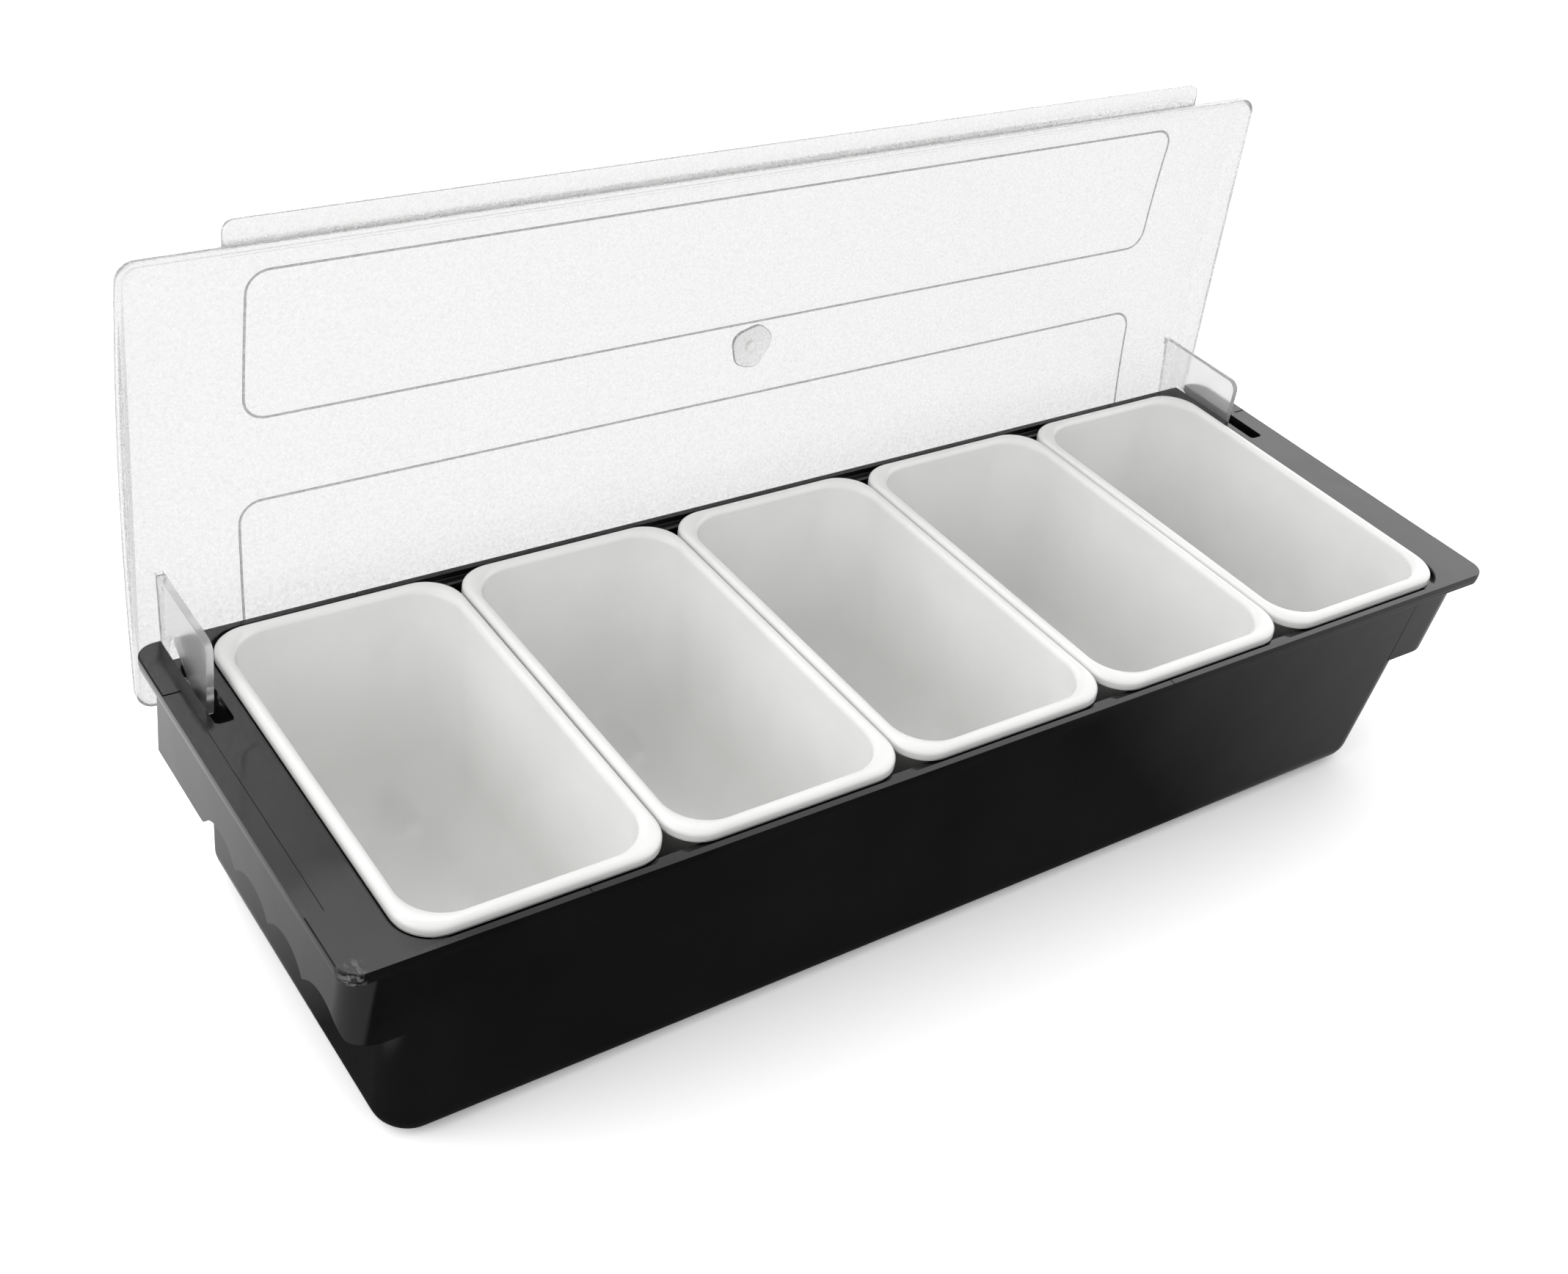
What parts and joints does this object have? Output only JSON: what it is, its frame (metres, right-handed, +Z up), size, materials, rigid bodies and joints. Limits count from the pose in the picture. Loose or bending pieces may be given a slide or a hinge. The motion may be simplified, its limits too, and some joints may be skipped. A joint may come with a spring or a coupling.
{
  "type": "condiment caddy",
  "caption": "Bar condiment caddy: black plastic tray with lift-out white bins and one clear flip lid on hooks, shown open.",
  "frame": {"origin": "On the flat rest face under the tray, below the middle of the rim", "axes": "+X along the tray's length, +Y from the open front towards the lid's hinge, +Z up"},
  "size_m": [0.5, 0.1854, 0.2447],
  "materials": {
    "tray_black": "gloss moulded",
    "bin_white": "gloss moulded",
    "lid_clear": "clear moulded plastic with a fine grain"
  },
  "bodies": {
    "tray": {"base_tray": "tray_black"},
    "bin_1": {"insert_1": "bin_white"},
    "bin_2": {"insert_2": "bin_white"},
    "bin_3": {"insert_3": "bin_white"},
    "bin_4": {"insert_4": "bin_white"},
    "bin_5": {"insert_5": "bin_white"},
    "lid": {"lid": "lid_clear"}
  },
  "joints": [
    {"name": "lid_hinge", "type": "hinge", "parent": "tray", "child": "lid", "pos_m": [0, 0.0714, 0.0843], "axis": [-1, 0, 0], "range_deg": [-91.8, 0]},
    {"name": "insert_1_lift", "type": "slide", "parent": "tray", "child": "bin_1", "axis": [0, 0, 1], "range_m": [0, 0.12]},
    {"name": "insert_2_lift", "type": "slide", "parent": "tray", "child": "bin_2", "axis": [0, 0, 1], "range_m": [0, 0.12]},
    {"name": "insert_3_lift", "type": "slide", "parent": "tray", "child": "bin_3", "axis": [0, 0, 1], "range_m": [0, 0.12]},
    {"name": "insert_4_lift", "type": "slide", "parent": "tray", "child": "bin_4", "axis": [0, 0, 1], "range_m": [0, 0.12]},
    {"name": "insert_5_lift", "type": "slide", "parent": "tray", "child": "bin_5", "axis": [0, 0, 1], "range_m": [0, 0.12]}
  ]
}
